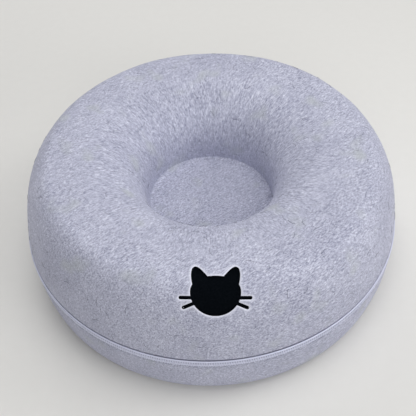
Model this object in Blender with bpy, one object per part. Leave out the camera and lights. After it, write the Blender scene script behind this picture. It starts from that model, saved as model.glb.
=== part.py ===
"""A round felt cat tunnel, shaped like a ring cushion that is hollow inside.

Two moulded felt shells meet at a closed zip that runs all the way round: a ring-shaped cover with a
sunken nest in its middle, and a shallow tray under it.  A black cat's head with four whiskers is cut
through the front of the cover and backed with black felt, and a half-round doorway is cut in its back.

Metres, +Z up.  The origin is at the middle of the base, where the tray rests on the floor, and the
cat's head looks towards -Y.
"""

import math

import bmesh
import bpy
from mathutils import Matrix, Vector

# ---------------------------------------------------------------- driving sizes
OUTER_RADIUS = 0.300          # widest radius of the felt, a little below the zip
HEIGHT = 0.205                # floor to the crest of the ring
WIDEST_Z = 0.063              # height at which the side is widest
CREST_RADIUS = 0.243          # radius of the crest of the ring
FELT = 0.004                  # thickness of the moulded felt

BASE_RADIUS = 0.287           # flat part of the base that rests on the floor
TRAY_RIM_Z = 0.0745           # top edge of the tray's wall
COVER_RIM_Z = 0.0900          # bottom edge of the cover

NEST_RADIUS = 0.1025          # flat floor of the sunken middle
NEST_Z = 0.0900               # height of that floor, level with the cover's edge
NEST_WALL_POWER = 2.67        # above 2 the nest's wall stands steeper and its top rounds over sooner

ROUND_STEPS = 60              # straight facets in a full turn, shared by every turned piece
GAP = 0.0003                  # clearance between pieces that touch

# ---------------------------------------------------------------- zip
TAPE = 0.0010                 # thickness of the zip's woven tape
TAPE_TOP_Z = 0.1020           # upper edge of the tape behind the cover
TAPE_BOTTOM_Z = 0.0580        # lower edge of the tape behind the tray
TAPE_FACE_RADIUS = 0.2985     # face of the tape between the two felt edges
COIL_Z = 0.0822               # middle of the closed coil
COIL_WIDTH = 0.0086           # across both rows of teeth
COIL_DEPTH = 0.0020
COIL_EDGE = 0.0008            # how far the coil's outer edge is rounded

SLIDER_TURN = 42.0            # degrees past the back, where the slider is parked
SLIDER_LENGTH = 0.016
SLIDER_WIDTH = 0.0115
SLIDER_DEPTH = 0.0030
BRIDGE_SIZE = (0.0030, 0.0080, 0.0026)
PULL_LENGTH = 0.026
PULL_WIDTH = 0.0070
PULL_THICKNESS = 0.0012
PULL_HANG = 0.0040            # how far below the slider's middle the pull starts

# ---------------------------------------------------------------- doorway at the back
DOOR_SILL_Z = 0.106
DOOR_RADIUS = 0.085           # half the width of the doorway, and its height
DOOR_CORNER = 0.012
DOOR_DEPTH = (0.190, 0.330)   # nearest and furthest Y that the cut reaches

# ---------------------------------------------------------------- cat's head at the front
MOTIF_TILT = math.radians(52.0)       # the way the head faces, up from level
MOTIF_TURN = math.radians(-2.8)       # the head leans a little, clockwise as seen
MOTIF_MIDDLE = (0.0009, -0.2652, 0.1948)
HEAD_HALF_WIDTH = 0.0325
HEAD_WIDEST = 0.0051                  # the cheeks' height above the middle of the head
HEAD_RISE = 0.0205                    # from the cheeks up to the brow
HEAD_DROP = 0.0309                    # from the cheeks down to the chin
HEAD_POWERS = (2.2, 2.0)              # the brow is a little squarer than an ellipse, the chin is one
HEAD_STEPS = 36
EAR_TIP = (0.0308, 0.0424)            # sideways and up from the middle of the head
EAR_INNER = (0.0081, 0.0237)
EAR_OUTER = (0.0287, 0.0080)
EAR_ROUND = 0.0032
WHISKER_WIDTH = 0.0038
WHISKER_END_STEPS = 6
# start and end of each right-hand whisker, sideways and up from the middle of the head
WHISKERS = {
    "upper": {"start": (0.0250, -0.0024), "end": (0.0454, -0.0024)},
    "lower": {"start": (0.0225, -0.0068), "end": (0.0408, -0.0146)},
}
CUT_OUTSIDE = 0.040                   # reach of the cutters each side of the motif's middle
CUT_INSIDE = 0.035
BACKING = 0.0015                      # thickness of the black felt behind the cut-out
BACKING_FACETS = 2                    # facets of the cover that the backing spans each side
BACKING_REACH = (0.185, 0.135)        # radius of its inner edge and height of its outer edge

LAVENDER_FELT = (0.475, 0.470, 0.590, 1.0)
BLACK_FELT = (0.006, 0.007, 0.009, 1.0)
ZIP_CLOTH = (0.500, 0.495, 0.610, 1.0)
ZIP_COIL = (0.520, 0.515, 0.630, 1.0)
SLIDER_METAL = (0.420, 0.420, 0.450, 1.0)


# ---------------------------------------------------------------- helpers
def clear_scene():
    """Remove whatever the opened file holds."""
    for old in list(bpy.data.objects):
        bpy.data.objects.remove(old, do_unlink=True)


def make_material(name, colour, roughness, metallic=0.0):
    """A plain Principled material."""
    material = bpy.data.materials.new(name)
    material.use_nodes = True
    shader = material.node_tree.nodes["Principled BSDF"]
    shader.inputs["Base Color"].default_value = colour
    shader.inputs["Roughness"].default_value = roughness
    shader.inputs["Metallic"].default_value = metallic
    return material


def add_object(name, mesh, material=None):
    """Put a mesh in the scene as a named object."""
    piece = bpy.data.objects.new(name, mesh)
    bpy.context.scene.collection.objects.link(piece)
    if material is not None:
        mesh.materials.append(material)
    return piece


def shade_round(piece, sharp_angle=40.0):
    """Shade a turned piece smooth, with crisp edges where it really turns."""
    piece.data.shade_smooth()
    piece.data.set_sharp_from_angle(angle=math.radians(sharp_angle))


def offset_line(points, distance):
    """Move a line of (radius, height) points sideways, to the right of the way it runs."""
    moved = []
    for index, point in enumerate(points):
        ways = []
        if index > 0:
            ways.append(Vector(point) - Vector(points[index - 1]))
        if index < len(points) - 1:
            ways.append(Vector(points[index + 1]) - Vector(point))
        sides = [Vector((way.y, -way.x)).normalized() for way in ways]
        middle = sum(sides, Vector((0.0, 0.0))).normalized()
        reach = distance / middle.dot(sides[0])
        moved.append((point[0] + middle.x * reach, point[1] + middle.y * reach))
    return moved


def turned_solid(name, outline, material, first_angle=0.0, facets=ROUND_STEPS):
    """Turn a closed (radius, height) outline about Z.  Fewer facets than a full turn leave capped ends."""
    full_turn = facets == ROUND_STEPS
    sweep = 2.0 * math.pi * facets / ROUND_STEPS
    mesh = bpy.data.meshes.new(name)
    shape = bmesh.new()
    corners = [shape.verts.new((radius, 0.0, height)) for radius, height in outline]
    edges = [shape.edges.new((corners[i - 1], corners[i])) for i in range(len(corners))]
    spun = corners + edges
    if not full_turn:
        spun = corners + edges + [shape.faces.new(corners)]
    bmesh.ops.rotate(shape, verts=corners, cent=(0, 0, 0), matrix=Matrix.Rotation(first_angle, 3, "Z"))
    bmesh.ops.spin(
        shape,
        geom=spun,
        cent=(0.0, 0.0, 0.0),
        axis=(0.0, 0.0, 1.0),
        angle=sweep,
        steps=facets,
        use_merge=full_turn,
    )
    bmesh.ops.remove_doubles(shape, verts=shape.verts, dist=1e-6)
    bmesh.ops.dissolve_degenerate(shape, edges=shape.edges, dist=1e-7)
    bmesh.ops.recalc_face_normals(shape, faces=shape.faces)
    shape.to_mesh(mesh)
    shape.free()
    piece = add_object(name, mesh, material)
    shade_round(piece)
    return piece


def prism(name, outline, low, high, place):
    """A hidden cutter: an outline in its own X-Y plane, drawn out from low to high along Z."""
    mesh = bpy.data.meshes.new(name)
    shape = bmesh.new()
    base = shape.faces.new([shape.verts.new((x, y, low)) for x, y in outline])
    drawn = bmesh.ops.extrude_face_region(shape, geom=[base])
    moved = [item for item in drawn["geom"] if isinstance(item, bmesh.types.BMVert)]
    bmesh.ops.translate(shape, verts=moved, vec=(0.0, 0.0, high - low))
    bmesh.ops.recalc_face_normals(shape, faces=shape.faces)
    shape.to_mesh(mesh)
    shape.free()
    mesh.transform(place)
    cutter = add_object(name, mesh)
    cutter.hide_render = True
    cutter.display_type = "WIRE"
    return cutter


def cut(piece, cutter):
    """Cut a hidden shape out of a piece."""
    modifier = piece.modifiers.new("cut " + cutter.name, "BOOLEAN")
    modifier.operation = "DIFFERENCE"
    modifier.solver = "EXACT"
    modifier.object = cutter


def arc(middle, radius, start, end, steps):
    """Points along an arc, in degrees."""
    points = []
    for step in range(steps + 1):
        angle = math.radians(start + (end - start) * step / steps)
        points.append((middle[0] + radius * math.cos(angle), middle[1] + radius * math.sin(angle)))
    return points


# ---------------------------------------------------------------- the felt's section
def side_radius(height):
    """Radius of the outer side at a height at or above the widest one."""
    share = (height - WIDEST_Z) / (HEIGHT - WIDEST_Z)
    return CREST_RADIUS + (OUTER_RADIUS - CREST_RADIUS) * math.sqrt(1.0 - share * share)


def cover_line(side_steps=8, nest_steps=9):
    """Top face of the cover, from its bottom edge over the crest to the middle of the nest."""
    start = math.asin((COVER_RIM_Z - WIDEST_Z) / (HEIGHT - WIDEST_Z))
    points = []
    for step in range(side_steps):
        angle = start + (math.pi / 2.0 - start) * step / side_steps
        radius = CREST_RADIUS + (OUTER_RADIUS - CREST_RADIUS) * math.cos(angle)
        points.append((radius, WIDEST_Z + (HEIGHT - WIDEST_Z) * math.sin(angle)))
    for step in range(nest_steps + 1):
        angle = math.pi / 2.0 * step / nest_steps
        inward = max(math.sin(angle), 0.0) ** (2.0 / NEST_WALL_POWER)
        upward = max(math.cos(angle), 0.0) ** (2.0 / NEST_WALL_POWER)
        radius = CREST_RADIUS - (CREST_RADIUS - NEST_RADIUS) * inward
        points.append((radius, NEST_Z + (HEIGHT - NEST_Z) * upward))
    points.append((0.0, NEST_Z))
    return points


def cover_lining_line():
    """Under face of the cover, in step with its top face."""
    line = offset_line(cover_line(), -FELT)
    line[0] = (line[0][0], COVER_RIM_Z)
    line[-1] = (0.0, NEST_Z - FELT)
    return line


def tray_line(corner_steps=6):
    """Outer face of the tray, from the middle of the base up to its top edge."""
    points = [(0.0, 0.0)]
    for step in range(corner_steps + 1):
        angle = math.pi / 2.0 * (1.0 - step / corner_steps)
        radius = BASE_RADIUS + (OUTER_RADIUS - BASE_RADIUS) * math.cos(angle)
        points.append((radius, WIDEST_Z * (1.0 - math.sin(angle))))
    points.append((side_radius(TRAY_RIM_Z), TRAY_RIM_Z))
    return points


# ---------------------------------------------------------------- pieces
def make_cover(felt):
    """The ring-shaped upper shell, with the doorway and the cat's head cut through it."""
    outline = cover_line() + cover_lining_line()[::-1]
    cover = turned_solid("cover", outline, felt)
    for cutter in motif_cutters() + [doorway_cutter()]:
        cut(cover, cutter)
    return cover


def make_tray(felt):
    """The shallow lower shell: flat base, rounded corner and upright wall."""
    outer = tray_line()
    inner = offset_line(outer, -FELT)
    inner[0] = (0.0, FELT)
    inner[-1] = (inner[-1][0], TRAY_RIM_Z)
    return turned_solid("tray", outer + inner[::-1], felt)


def doorway_cutter():
    """A half-round doorway with rounded lower corners, cut straight through the back."""
    half = DOOR_RADIUS
    outline = arc((0.0, 0.0), half, 12.0, 168.0, 20)
    outline += arc((-half + DOOR_CORNER, DOOR_CORNER), DOOR_CORNER, 180.0, 270.0, 4)
    outline += arc((half - DOOR_CORNER, DOOR_CORNER), DOOR_CORNER, 270.0, 360.0, 4)
    upright = Matrix.Rotation(math.pi / 2.0, 4, "X")
    place = Matrix.Translation((0.0, DOOR_DEPTH[1], DOOR_SILL_Z)) @ upright
    return prism("doorway_cut", outline, 0.0, DOOR_DEPTH[1] - DOOR_DEPTH[0], place)


def motif_place():
    """The plane of the cat's head: X to its right, Y up it, Z outwards."""
    tilt = Matrix.Rotation(math.pi / 2.0 - MOTIF_TILT, 4, "X")
    return Matrix.Translation(MOTIF_MIDDLE) @ tilt @ Matrix.Rotation(MOTIF_TURN, 4, "Z")


def head_outline():
    """A rounded head, widest at its cheeks, with a flatter brow and a round chin."""
    points = []
    for step in range(HEAD_STEPS):
        angle = 2.0 * math.pi * step / HEAD_STEPS
        above = math.sin(angle) >= 0.0
        power = HEAD_POWERS[0] if above else HEAD_POWERS[1]
        across = math.copysign(abs(math.cos(angle)) ** (2.0 / power), math.cos(angle))
        upward = math.copysign(abs(math.sin(angle)) ** (2.0 / power), math.sin(angle))
        height = HEAD_RISE if above else HEAD_DROP
        points.append((HEAD_HALF_WIDTH * across, HEAD_WIDEST + height * upward))
    return points


def ear_outline(side):
    """A pointed ear with a small round tip; its foot lies inside the head.  side is 1 or -1."""
    tip = Vector(EAR_TIP)
    inner = Vector(EAR_INNER)
    outer = Vector(EAR_OUTER)
    inner_way = (inner - tip).normalized()
    outer_way = (outer - tip).normalized()
    half_angle = inner_way.angle(outer_way) / 2.0
    middle = tip + (inner_way + outer_way).normalized() * (EAR_ROUND / math.sin(half_angle))
    start = math.degrees(math.atan2(outer_way.x, -outer_way.y))
    end = math.degrees(math.atan2(-inner_way.x, inner_way.y))
    points = [tuple(outer)] + arc(middle, EAR_ROUND, start, end, 5) + [tuple(inner)]
    points.append((0.012, 0.0))
    return [(side * x, y) for x, y in points][::side]


def whisker_outline(row, side):
    """A straight whisker with a round free end.  side is 1 or -1."""
    start = Vector(row["start"])
    end = Vector(row["end"])
    way = (end - start).normalized()
    heading = math.degrees(math.atan2(way.y, way.x))
    half = WHISKER_WIDTH / 2.0
    across = Vector((-way.y, way.x)) * half
    points = [tuple(start - across)]
    points += arc(end, half, heading - 90.0, heading + 90.0, WHISKER_END_STEPS)
    points += [tuple(start + across)]
    return [(side * x, y) for x, y in points][::side]


def motif_cutters():
    """Cutters for the head, its two ears and its four whiskers."""
    place = motif_place()
    cutters = [prism("head_cut", head_outline(), -CUT_INSIDE, CUT_OUTSIDE, place)]
    for side, word in ((-1, "left"), (1, "right")):
        cutters.append(prism(f"ear_cut_{word}", ear_outline(side), -CUT_INSIDE, CUT_OUTSIDE, place))
        for row_name, row in WHISKERS.items():
            name = f"whisker_cut_{row_name}_{word}"
            outline = whisker_outline(row, side)
            cutters.append(prism(name, outline, -CUT_INSIDE, CUT_OUTSIDE, place))
    return cutters


def make_backing(felt):
    """Black felt behind the cut-out, following the under face of the cover."""
    inner_radius, low_height = BACKING_REACH
    under = cover_lining_line()
    face = [point for point in under if point[0] > inner_radius and point[1] > low_height]
    front = offset_line(face, -GAP)
    back = offset_line(face, -GAP - BACKING)
    step = 2.0 * math.pi / ROUND_STEPS
    first = -math.pi / 2.0 - BACKING_FACETS * step
    return turned_solid("motif_backing", front + back[::-1], felt, first, 2 * BACKING_FACETS)


def make_zip_tapes(cloth):
    """Two woven tapes: each lies behind a felt edge and steps out into the gap between the edges."""
    face = TAPE_FACE_RADIUS
    behind_cover_top = side_radius(TAPE_TOP_Z) - FELT - 0.0006
    behind_cover = side_radius(COVER_RIM_Z) - FELT - GAP
    behind_tray = side_radius(TRAY_RIM_Z) - FELT - GAP
    step_up = COVER_RIM_Z - GAP
    step_down = TRAY_RIM_Z + GAP
    upper = [
        (behind_cover_top, TAPE_TOP_Z),
        (behind_cover, step_up),
        (face, step_up),
        (face, COIL_Z + GAP),
        (face - TAPE, COIL_Z + GAP),
        (face - TAPE, step_up - TAPE),
        (behind_cover - TAPE, step_up - TAPE),
        (behind_cover_top - TAPE, TAPE_TOP_Z),
    ]
    lower = [
        (behind_tray, TAPE_BOTTOM_Z),
        (behind_tray, step_down),
        (face, step_down),
        (face, COIL_Z - GAP),
        (face - TAPE, COIL_Z - GAP),
        (face - TAPE, step_down + TAPE),
        (behind_tray - TAPE, step_down + TAPE),
        (behind_tray - TAPE, TAPE_BOTTOM_Z),
    ]
    turned_solid("zip_tape_upper", upper, cloth)
    turned_solid("zip_tape_lower", lower, cloth)


def make_zip_coil(coil):
    """The closed rows of teeth, one band that follows the tapes."""
    inner = TAPE_FACE_RADIUS + GAP
    outer = inner + COIL_DEPTH
    half = COIL_WIDTH / 2.0
    outline = [
        (inner, COIL_Z - half),
        (outer - COIL_EDGE, COIL_Z - half),
        (outer, COIL_Z - half + COIL_EDGE),
        (outer, COIL_Z + half - COIL_EDGE),
        (outer - COIL_EDGE, COIL_Z + half),
        (inner, COIL_Z + half),
    ]
    turned_solid("zip_coil", outline, coil)


def box_mesh(name, size, middle):
    """A box of a size about a middle point, with softened corners."""
    mesh = bpy.data.meshes.new(name)
    shape = bmesh.new()
    bmesh.ops.create_cube(shape, size=1.0)
    bmesh.ops.scale(shape, vec=size, verts=shape.verts)
    bmesh.ops.bevel(shape, geom=shape.edges, offset=min(size) * 0.22, segments=1, affect="EDGES")
    bmesh.ops.translate(shape, verts=shape.verts, vec=middle)
    bmesh.ops.recalc_face_normals(shape, faces=shape.faces)
    shape.to_mesh(mesh)
    shape.free()
    return mesh


def make_slider(metal):
    """The slider and its pull, parked at the back of the ring, just clear of the coil.

    Their meshes are drawn with X outwards, Y along the zip and Z up, then turned into place.
    """
    coil_face = TAPE_FACE_RADIUS + GAP + COIL_DEPTH
    plate_x = coil_face + GAP + SLIDER_DEPTH / 2.0
    bridge_x = coil_face + GAP + SLIDER_DEPTH + BRIDGE_SIZE[0] / 2.0
    pull_x = bridge_x + BRIDGE_SIZE[0] / 2.0 + GAP + PULL_THICKNESS / 2.0
    pull_z = COIL_Z - PULL_HANG - PULL_LENGTH / 2.0
    turn = Matrix.Rotation(math.radians(90.0 + SLIDER_TURN), 4, "Z")

    slider = add_object(
        "zip_slider",
        box_mesh("zip_slider", (SLIDER_DEPTH, SLIDER_LENGTH, SLIDER_WIDTH), (plate_x, 0.0, COIL_Z)),
        metal,
    )
    overlap = 0.0004
    bridge = add_object(
        "bridge_guide",
        box_mesh("bridge_guide", BRIDGE_SIZE, (bridge_x - overlap, 0.0, COIL_Z)),
    )
    bridge.hide_render = True
    bridge.display_type = "WIRE"
    joined = slider.modifiers.new("bridge", "BOOLEAN")
    joined.operation = "UNION"
    joined.solver = "EXACT"
    joined.object = bridge
    pull = add_object(
        "zip_pull",
        box_mesh("zip_pull", (PULL_THICKNESS, PULL_WIDTH, PULL_LENGTH), (pull_x, 0.0, pull_z)),
        metal,
    )
    for piece in (slider, bridge, pull):
        piece.data.transform(turn)


def main():
    """Build every piece of the tunnel."""
    clear_scene()
    felt = make_material("lavender felt", LAVENDER_FELT, 0.95)
    black_felt = make_material("black felt", BLACK_FELT, 0.95)
    zip_cloth = make_material("zip tape cloth", ZIP_CLOTH, 0.85)
    zip_coil = make_material("nylon zip coil", ZIP_COIL, 0.55)
    slider_metal = make_material("painted slider", SLIDER_METAL, 0.40, 0.8)
    make_cover(felt)
    make_tray(felt)
    make_backing(black_felt)
    make_zip_tapes(zip_cloth)
    make_zip_coil(zip_coil)
    make_slider(slider_metal)


main()
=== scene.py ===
"""The look of a round felt cat tunnel: a ring cushion's shape, hollow inside.

Two shells of moulded needle felt meet at a closed zip that runs all the way round.  The cover has a
sunken nest in its middle, a black cat's head cut through its front and a half-round doorway at its
back.  Metres, +Z up, the cat's head towards -Y, as in the frame that this script is built around.
"""

import logging
import math
from dataclasses import dataclass, field
from enum import Enum
from typing import Callable, Optional, Sequence

import bmesh
import bpy
import numpy as np
from mathutils import Matrix, Vector, noise
from mathutils.bvhtree import BVHTree


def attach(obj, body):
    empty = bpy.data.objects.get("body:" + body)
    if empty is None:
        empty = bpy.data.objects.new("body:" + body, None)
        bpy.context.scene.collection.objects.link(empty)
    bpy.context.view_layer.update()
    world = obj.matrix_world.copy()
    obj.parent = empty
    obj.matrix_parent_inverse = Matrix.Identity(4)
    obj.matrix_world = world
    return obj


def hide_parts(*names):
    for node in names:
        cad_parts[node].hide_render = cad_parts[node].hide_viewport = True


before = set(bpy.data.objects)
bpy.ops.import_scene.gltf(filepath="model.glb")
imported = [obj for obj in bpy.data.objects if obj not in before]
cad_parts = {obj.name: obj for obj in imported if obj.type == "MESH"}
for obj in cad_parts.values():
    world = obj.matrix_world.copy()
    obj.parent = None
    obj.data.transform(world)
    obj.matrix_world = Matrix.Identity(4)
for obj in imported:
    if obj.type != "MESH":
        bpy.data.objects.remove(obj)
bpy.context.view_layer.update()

Point = tuple[float, float]
Line = list[Point]
Colour = tuple[float, float, float, float]
Tree = bpy.types.NodeTree
Node = bpy.types.Node
Socket = bpy.types.NodeSocket
Piece = bpy.types.Object

BODY = "root"
LOG = logging.getLogger("felt_tunnel")

MATH, VECTOR_MATH, NOISE = "ShaderNodeMath", "ShaderNodeVectorMath", "ShaderNodeTexNoise"
MIX, MAP_RANGE, BUMP = "ShaderNodeMix", "ShaderNodeMapRange", "ShaderNodeBump"
JOIN_XYZ, ATTRIBUTE, RANDOM = "ShaderNodeCombineXYZ", "ShaderNodeAttribute", "FunctionNodeRandomValue"
AT_FLOOR_LEVEL = (1.0, 1.0, 0.0)
FRONT = -math.pi / 2.0
FULL_TURN = 2.0 * math.pi
SAME_PLACE = 5e-5


class Slot(Enum):
    """The record's material slots."""

    FELT = "felt"
    BLACK_FELT = "black_felt"
    TAPE = "zip_tape"
    COIL = "zip_coil"
    METAL = "slider_metal"


# ---------------------------------------------------------------- nodes and colours
def linear(hex_colour: str) -> Colour:
    """Turn an sRGB colour to linear light.

    Args:
        hex_colour: Six hex digits, red first.

    Returns:
        Linear red, green and blue, with an alpha of 1.
    """
    parts = [int(hex_colour[index : index + 2], 16) / 255.0 for index in (0, 2, 4)]
    light = [p / 12.92 if p <= 0.04045 else ((p + 0.055) / 1.055) ** 2.4 for p in parts]
    return (light[0], light[1], light[2], 1.0)


def add_node(tree: Tree, kind: str, inputs: Optional[dict] = None, **settings: object) -> Node:
    """Add a node with its settings and its inputs.

    Args:
        tree: The node tree it goes in.
        kind: The node's type name.
        inputs: Input names or places, each with a value, or with the node or socket that feeds it.
        **settings: The node's properties and their values.

    Returns:
        The new node.
    """
    node = tree.nodes.new(kind)
    for name, value in settings.items():
        setattr(node, name, value)
    for key, value in (inputs or {}).items():
        if isinstance(value, bpy.types.Node):
            value = next(socket for socket in value.outputs if socket.enabled)
        if isinstance(value, bpy.types.NodeSocket):
            tree.links.new(value, node.inputs[key])
        else:
            node.inputs[key].default_value = value
    return node


def open_tree(name: str, inputs: dict[str, str]) -> tuple[Tree, Sequence[Socket]]:
    """Start a geometry tree.

    Args:
        name: The tree's name.
        inputs: The name of each input and its kind.

    Returns:
        The tree, and what its inputs give.
    """
    tree = bpy.data.node_groups.new(name, "GeometryNodeTree")
    tree.interface.new_socket("Geometry", in_out="OUTPUT", socket_type="NodeSocketGeometry")
    for label, kind in inputs.items():
        tree.interface.new_socket(label, in_out="INPUT", socket_type="NodeSocket" + kind)
    return tree, add_node(tree, "NodeGroupInput").outputs


def close_tree(tree: Tree, instances: Node, finish: Socket) -> Tree:
    """End a geometry tree with real meshes in their finish.

    Args:
        tree: The tree.
        instances: The node that gives the instances.
        finish: The material's socket.

    Returns:
        The same tree.
    """
    real = add_node(tree, "GeometryNodeRealizeInstances", {"Geometry": instances})
    dressed = add_node(tree, "GeometryNodeSetMaterial", {"Geometry": real, "Material": finish})
    add_node(tree, "NodeGroupOutput", {0: dressed})
    return tree


def smooth_step(value: float, low: float, high: float) -> float:
    """Rise smoothly from 0 at low to 1 at high."""
    share = min(max((value - low) / (high - low), 0.0), 1.0)
    return share * share * (3.0 - 2.0 * share)


# ---------------------------------------------------------------- finishes
@dataclass(frozen=True)
class Finish:
    """A named finish, whose look its own class works out."""

    name: str

    def surface(self, tree: Tree) -> dict:
        """Give the shader's inputs; each finish has its own."""
        raise NotImplementedError

    def material(self) -> bpy.types.Material:
        """Build the material.

        Returns:
            The new material.
        """
        material = bpy.data.materials.new(self.name)
        material.use_nodes = True
        tree = material.node_tree
        tree.nodes.clear()
        shader = add_node(tree, "ShaderNodeBsdfPrincipled", self.surface(tree))
        add_node(tree, "ShaderNodeOutputMaterial", {"Surface": shader})
        return material


@dataclass(frozen=True)
class MouldedFelt(Finish):
    """Needle-punched polyester felt, heathered, pressed warm over a mould.

    Short fibres of several greys and lavenders lie mostly one way, drawn out down the nest's wall.
    They give a matt, streaky, speckled face with a faint fuzz that lights up at a glancing angle.
    Fibre sizes are in millimetres and the wall's radii in metres.  Limits go from none to all, and a
    third one is the share that all of it takes.
    """

    name: str = "moulded needle felt"
    body: str = "B3B5C8"
    dark_fibre: str = "84869B"
    pale_fibre: str = "DDDFED"
    grey_patch: str = "B3B8BA"
    fleck: str = "7B7D92"
    fuzz: str = "E6E6F4"
    lay_degrees: float = 36.0
    streak: tuple[float, float] = (11.0, 2.8)
    speckle: tuple[float, float] = (3.8, 1.5)
    fleck_size: tuple[float, float] = (6.5, 1.5)
    cloud: float = 60.0
    patch: float = 42.0
    fibre_roughness: float = 0.70
    wall_radius: float = 150.0
    wall_slope: float = 0.7
    drawn_turn: float = 3.6
    drawn_length: float = 11.0
    wall_top: tuple[float, float] = (0.225, 0.160)
    wall_foot: tuple[float, float] = (0.096, 0.108)
    most_drawn: float = 0.7
    fleck_loss: float = 0.9
    tone_limits: tuple[float, float] = (0.55, 0.965)
    tone_stops: tuple[float, float, float] = (0.06, 0.50, 0.94)
    streak_tone: float = 0.38
    cloud_tone: float = 0.12
    patch_limits: tuple[float, float, float] = (0.60, 0.78, 0.6)
    fleck_limits: tuple[float, float, float] = (0.57, 0.68, 0.55)
    streak_relief: float = 0.5
    bump_metres: float = 0.00065
    roughness: float = 0.95
    specular: float = 0.12
    sheen: float = 0.30
    sheen_roughness: float = 0.55

    def surface(self, tree: Tree) -> dict:
        """Mix the fibres' colours and raise their relief.

        Args:
            tree: The material's node tree.

        Returns:
            The shader's inputs.
        """
        place = add_node(tree, "ShaderNodeTexCoord").outputs["Object"]
        lay = (0.0, 0.0, math.radians(self.lay_degrees))
        laid = add_node(tree, "ShaderNodeMapping", {"Vector": place, "Rotation": lay}, vector_type="TEXTURE")
        flat = add_node(tree, VECTOR_MATH, {0: place, 1: AT_FLOOR_LEVEL}, operation="MULTIPLY")
        reach = add_node(tree, VECTOR_MATH, {0: flat}, operation="LENGTH").outputs["Value"]
        drawn = self._drawn_place(tree, place, flat, reach)
        in_nest = self._nest_share(tree, reach)

        layers = []
        for size, detail, scale, drawn_detail, uneven in (
            (self.streak, 2.0, 1.0, 3.0, 0.6),
            (self.speckle, 4.0, 2.0, 4.0, self.fibre_roughness),
        ):
            on_ring = self._fibres(tree, laid, size, detail)
            on_wall = add_node(tree, NOISE, {"Vector": drawn, "Scale": scale, "Detail": drawn_detail,
                                             "Roughness": uneven})
            layers.append(add_node(tree, MIX, {0: in_nest, 2: on_ring, 3: on_wall}, data_type="FLOAT"))
        streaks, speckle = layers

        colour = self._heather(tree, place, streaks, speckle)
        low, high, most = self.fleck_limits
        flecks = add_node(tree, MAP_RANGE, {"Value": self._fibres(tree, laid, self.fleck_size, 2.0),
                                            1: low, 2: high, 4: most})
        on_face = add_node(tree, MATH, {0: in_nest, 1: -self.fleck_loss, 2: 1.0},
                           operation="MULTIPLY_ADD", use_clamp=True)
        fleck_share = add_node(tree, MATH, {0: flecks, 1: on_face}, operation="MULTIPLY")
        # Painted highlight: a pale halo along the cat's outline, in the pale fibres' colour.
        cut_edge = add_node(tree, ATTRIBUTE, attribute_name="cut_edge").outputs["Fac"]
        for share, fibre in ((fleck_share, self.fleck), (cut_edge, self.pale_fibre)):
            colour = add_node(tree, MIX, {0: share, 6: colour, 7: linear(fibre)}, data_type="RGBA")

        height = add_node(tree, MATH, {0: streaks, 1: self.streak_relief, 2: speckle},
                          operation="MULTIPLY_ADD")
        bump = add_node(tree, BUMP, {"Strength": 1.0, "Distance": self.bump_metres, "Height": height})
        return {"Base Color": colour, "Normal": bump, "Roughness": self.roughness,
                "Specular IOR Level": self.specular, "Sheen Weight": self.sheen,
                "Sheen Roughness": self.sheen_roughness, "Sheen Tint": linear(self.fuzz)}

    def _heather(self, tree: Tree, place: Socket, streaks: Node, speckle: Node) -> Node:
        """Mix the dark, middle and pale fibres, with greyer patches.

        Args:
            tree: The material's node tree.
            place: Places on the felt.
            streaks: The long fibres.
            speckle: The short fibres.

        Returns:
            The node that gives the colour.
        """
        cloud, patch = (add_node(tree, NOISE, {"Vector": place, "Scale": 1000.0 / size, "Detail": detail})
                        for size, detail in ((self.cloud, 2.0), (self.patch, 1.0)))
        tone = speckle
        for layer, share in ((streaks, self.streak_tone), (cloud, self.cloud_tone)):
            tone = add_node(tree, MATH, {0: layer, 1: share, 2: tone}, operation="MULTIPLY_ADD")
        low, high = self.tone_limits
        spread = add_node(tree, MAP_RANGE, {"Value": tone, 1: low, 2: high})
        ramp = add_node(tree, "ShaderNodeValToRGB", {"Fac": spread})
        stops = ramp.color_ramp.elements
        dark, middle, pale = self.tone_stops
        stops[0].position, stops[0].color = dark, linear(self.dark_fibre)
        stops[1].position, stops[1].color = pale, linear(self.pale_fibre)
        stops.new(middle).color = linear(self.body)
        low, high, most = self.patch_limits
        patched = add_node(tree, MAP_RANGE, {"Value": patch, 1: low, 2: high, 4: most})
        return add_node(tree, MIX, {0: patched, 6: ramp, 7: linear(self.grey_patch)}, data_type="RGBA")

    def _fibres(self, tree: Tree, laid: Node, size: tuple[float, float], detail: float) -> Node:
        """Draw fibres that run with the lay.

        Args:
            tree: The material's node tree.
            laid: Places turned to the lay.
            size: A fibre's length and width.
            detail: How many finer layers it has.

        Returns:
            The node that gives the fibres.
        """
        length, width = (1000.0 / extent for extent in size)
        drawn_out = add_node(tree, VECTOR_MATH, {0: laid, 1: (length, width, width)}, operation="MULTIPLY")
        return add_node(tree, NOISE, {"Vector": drawn_out, "Scale": 1.0, "Detail": detail,
                                      "Roughness": self.fibre_roughness})

    def _drawn_place(self, tree: Tree, place: Socket, flat: Node, reach: Socket) -> Node:
        """Give coordinates that run round the ring one way and down its nest's wall the other.

        Args:
            tree: The material's node tree.
            place: Places on the felt.
            flat: The same places at floor level.
            reach: Their distances from the axis.

        Returns:
            The node that gives the coordinates.
        """
        way = add_node(tree, VECTOR_MATH, {0: flat}, operation="NORMALIZE")
        turns = add_node(tree, VECTOR_MATH, {0: way, 3: self.wall_radius / self.drawn_turn},
                         operation="SCALE")
        up = add_node(tree, "ShaderNodeSeparateXYZ", {0: place}).outputs["Z"]
        along = add_node(tree, MATH, {0: reach, 1: up}, operation="ADD")
        steps = add_node(tree, MATH, {0: along, 1: 1000.0 * self.wall_slope / self.drawn_length},
                         operation="MULTIPLY")
        lifted = add_node(tree, JOIN_XYZ, {2: steps})
        return add_node(tree, VECTOR_MATH, {0: turns, 1: lifted}, operation="ADD")

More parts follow.
